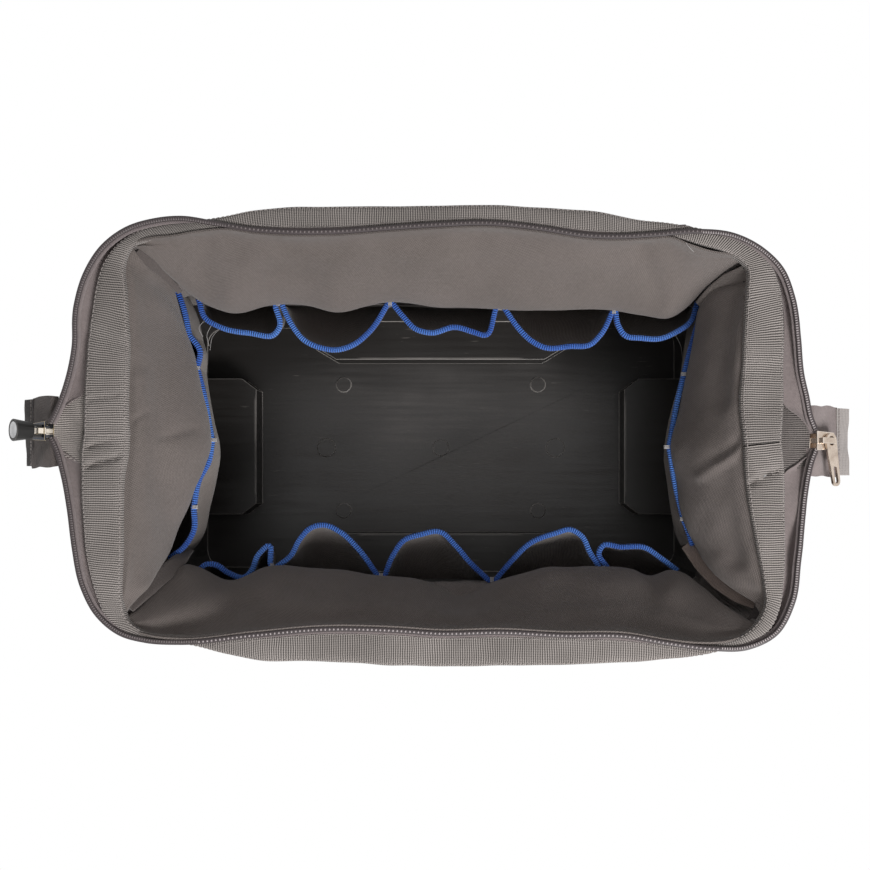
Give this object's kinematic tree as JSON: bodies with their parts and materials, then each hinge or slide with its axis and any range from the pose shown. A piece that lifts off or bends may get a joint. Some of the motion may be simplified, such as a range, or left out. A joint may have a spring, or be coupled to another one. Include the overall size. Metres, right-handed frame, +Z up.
{
  "type": "zippered tool bag",
  "caption": "Wide-mouth tool bag standing open: moulded tray base, fabric walls with inner pockets, hinged mouth frame, zipper with a slider at each end, and carry handles at front and back.",
  "frame": {"origin": "under the middle of the tray, on the ground that the bag stands on", "axes": "+X along the bag's length towards the end with the flat metal pull, +Y to the back, +Z up"},
  "size_m": [0.58, 0.309, 0.2251],
  "materials": {
    "tray_plastic": "black moulded polypropylene, satin inside with fine scuffs, leathery outside",
    "wall_fabric": "warm grey coated polyester with a fine twill",
    "pocket_fabric": "warm grey coated polyester, plain weave",
    "webbing": "grey ribbed polyester webbing",
    "blue_binding": "royal blue ribbed edge binding",
    "zipper_coil": "grey nylon coil",
    "zipper_tape": "grey woven zipper tape",
    "frame_steel": "bright zinc plated steel",
    "slider_nickel": "polished nickel plating",
    "pull_plastic": "black moulded rubbery plastic"
  },
  "bodies": {
    "bag": {"base_tray": "tray_plastic", "wall_back": "wall_fabric", "lining_back": "wall_fabric", "shell_back": "wall_fabric", "pocket_strip_back": "pocket_fabric", "pocket_binding_back": "blue_binding", "wall_front": "wall_fabric", "lining_front": "wall_fabric", "shell_front": "wall_fabric", "pocket_strip_front": "pocket_fabric", "pocket_binding_front": "blue_binding", "wall_left": "wall_fabric", "lining_left": "wall_fabric", "shell_left": "wall_fabric", "pocket_strip_left": "pocket_fabric", "pocket_binding_left": "blue_binding", "wall_right": "wall_fabric", "lining_right": "wall_fabric", "shell_right": "wall_fabric", "pocket_strip_right": "pocket_fabric", "pocket_binding_right": "blue_binding", "corner_seam_back_left": "pocket_fabric", "corner_seam_back_right": "pocket_fabric", "corner_seam_front_left": "pocket_fabric", "corner_seam_front_right": "pocket_fabric", "handle_anchor_back_left": "webbing", "handle_anchor_back_right": "webbing", "handle_anchor_front_left": "webbing", "handle_anchor_front_right": "webbing", "hinge_rivet_left": "frame_steel", "end_strap_left": "webbing", "zipper_tail_left": "pocket_fabric", "tail_webbing_left": "webbing", "tail_coil_left": "zipper_coil", "hinge_rivet_right": "frame_steel", "end_strap_right": "webbing", "zipper_tail_right": "pocket_fabric", "tail_webbing_right": "webbing", "tail_coil_right": "zipper_coil"},
    "frame_back": {"frame_bar_back": "frame_steel", "casing_back": "webbing", "zipper_coil_back": "zipper_coil", "zipper_tape_back": "zipper_tape"},
    "frame_front": {"frame_bar_front": "frame_steel", "casing_front": "webbing", "zipper_coil_front": "zipper_coil", "zipper_tape_front": "zipper_tape"},
    "slider_left": {"slider_left": "slider_nickel"},
    "slider_right": {"slider_right": "slider_nickel"},
    "pull_left": {"pull_left": "pull_plastic", "pull_cap_left": "slider_nickel"},
    "pull_right": {"pull_right": "slider_nickel"},
    "handle_back": {"handle_back": "webbing", "handle_grip_back": "pocket_fabric"},
    "handle_front": {"handle_front": "webbing", "handle_grip_front": "pocket_fabric"}
  },
  "joints": [
    {"name": "frame_back_fold", "type": "hinge", "parent": "bag", "child": "frame_back", "pos_m": [0, 0, 0.2075], "axis": [1, 0, 0], "range_deg": [0, 83], "deforming": ["lining_back", "shell_back", "casing_back", "corner_seam_back_left", "corner_seam_back_right", "lining_left", "lining_right", "shell_left", "shell_right"]},
    {"name": "frame_front_fold", "type": "hinge", "parent": "bag", "child": "frame_front", "pos_m": [0, 0, 0.2075], "axis": [-1, 0, 0], "range_deg": [0, 83], "deforming": ["lining_front", "shell_front", "casing_front", "corner_seam_front_left", "corner_seam_front_right", "lining_left", "lining_right", "shell_left", "shell_right"]},
    {"name": "slider_left_slide", "type": "slide", "parent": "bag", "child": "slider_left", "axis": [-0.7431, 0, -0.6691], "range_m": [0, 0.008]},
    {"name": "slider_right_slide", "type": "slide", "parent": "bag", "child": "slider_right", "axis": [0.848, 0, -0.5299], "range_m": [0, 0.008]},
    {"name": "pull_left_swing", "type": "hinge", "parent": "slider_left", "child": "pull_left", "pos_m": [-0.26542, 0.003, 0.20715], "axis": [0, -1, 0], "range_deg": [-60, 11]},
    {"name": "pull_right_turn", "type": "hinge", "parent": "slider_right", "child": "pull_right", "pos_m": [0.26648, -0.0035, 0.20427], "axis": [0.5299, 0, 0.848], "range_deg": [0, 158]},
    {"name": "handle_back_swing", "type": "hinge", "parent": "bag", "child": "handle_back", "pos_m": [0, 0.1215, 0.142], "axis": [1, 0, 0], "range_deg": [0, 130]},
    {"name": "handle_front_swing", "type": "hinge", "parent": "bag", "child": "handle_front", "pos_m": [0, -0.1215, 0.142], "axis": [-1, 0, 0], "range_deg": [0, 130]}
  ]
}
